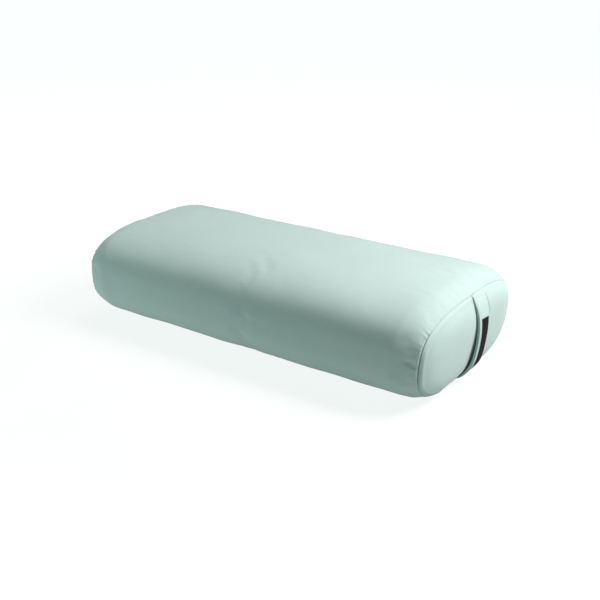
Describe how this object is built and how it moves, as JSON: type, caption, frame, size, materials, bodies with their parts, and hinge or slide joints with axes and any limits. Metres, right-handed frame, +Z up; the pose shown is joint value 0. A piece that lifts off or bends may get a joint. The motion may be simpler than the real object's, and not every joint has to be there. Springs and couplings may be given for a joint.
{
  "type": "bolster pillow",
  "caption": "Rectangular bolster pillow with rounded edges, a zipped removable cotton cover and a strap handle sewn across one end, for propping the body in massage or restorative poses.",
  "frame": {"origin": "middle of the flat underside that rests on the floor or table", "axes": "+X along the bolster towards the end with the handle, +Y across it towards the back with the zipper, +Z up"},
  "size_m": [0.6595, 0.3097, 0.16],
  "materials": {
    "cover_fabric": "matte",
    "strap_fabric": "matte",
    "cover_thread": "satin",
    "label_weave": "satin",
    "label_thread": "satin",
    "zipper_tape": "matte",
    "zipper_coil": "satin",
    "zipper_metal": "satin",
    "care_label_satin": "satin",
    "liner_cotton": "matte",
    "liner_thread": "matte",
    "liner_label_satin": "satin",
    "batting_cotton": "matte"
  },
  "bodies": {
    "root": {"cover_wrap": "cover_fabric", "cover_end_front": "cover_fabric", "cover_end_rear": "cover_fabric", "end_seam_thread_front": "cover_thread", "end_seam_thread_rear": "cover_thread", "closing_seam_threads": "cover_thread", "zipper_stitching_upper": "cover_thread", "zipper_stitching_lower": "cover_thread", "zipper_bartacks": "cover_thread", "zipper_tape_upper": "zipper_tape", "zipper_tape_lower": "zipper_tape", "zipper_coil_upper": "zipper_coil", "zipper_coil_lower": "zipper_coil", "zipper_top_stops": "zipper_metal", "zipper_bottom_stop": "zipper_metal", "care_label": "care_label_satin", "liner_wrap": "liner_cotton", "liner_end_front": "liner_cotton", "liner_end_rear": "liner_cotton", "liner_seam_thread_front": "liner_thread", "liner_seam_thread_rear": "liner_thread", "liner_closing_stitches": "liner_thread", "liner_label": "liner_label_satin", "batting_wrap": "batting_cotton", "batting_end_pad_front": "batting_cotton", "batting_end_pad_rear": "batting_cotton", "batting_layer_1": "batting_cotton", "batting_layer_2": "batting_cotton", "batting_layer_3": "batting_cotton", "batting_layer_4": "batting_cotton", "batting_layer_5": "batting_cotton", "batting_layer_6": "batting_cotton"},
    "handle": {"handle_strap": "strap_fabric", "handle_topstitching": "cover_thread", "handle_label": "label_weave", "label_stitching": "label_thread"},
    "zipper_slider": {"zipper_slider": "zipper_metal"},
    "zipper_pull_tab": {"zipper_pull_tab": "zipper_metal"}
  },
  "joints": [
    {"name": "handle_pull", "type": "slide", "parent": "root", "child": "handle", "axis": [1, 0, 0], "range_m": [0, 0.015], "stiffness_N_per_m": 300},
    {"name": "zipper_slide", "type": "slide", "parent": "root", "child": "zipper_slider", "axis": [-1, 0, 0], "range_m": [0, 0.492]},
    {"name": "pull_tab_hinge", "type": "hinge", "parent": "zipper_slider", "child": "zipper_pull_tab", "pos_m": [0.246, 0.15535, 0.0825], "axis": [0, 0, -1], "range_deg": [0, 175]}
  ]
}
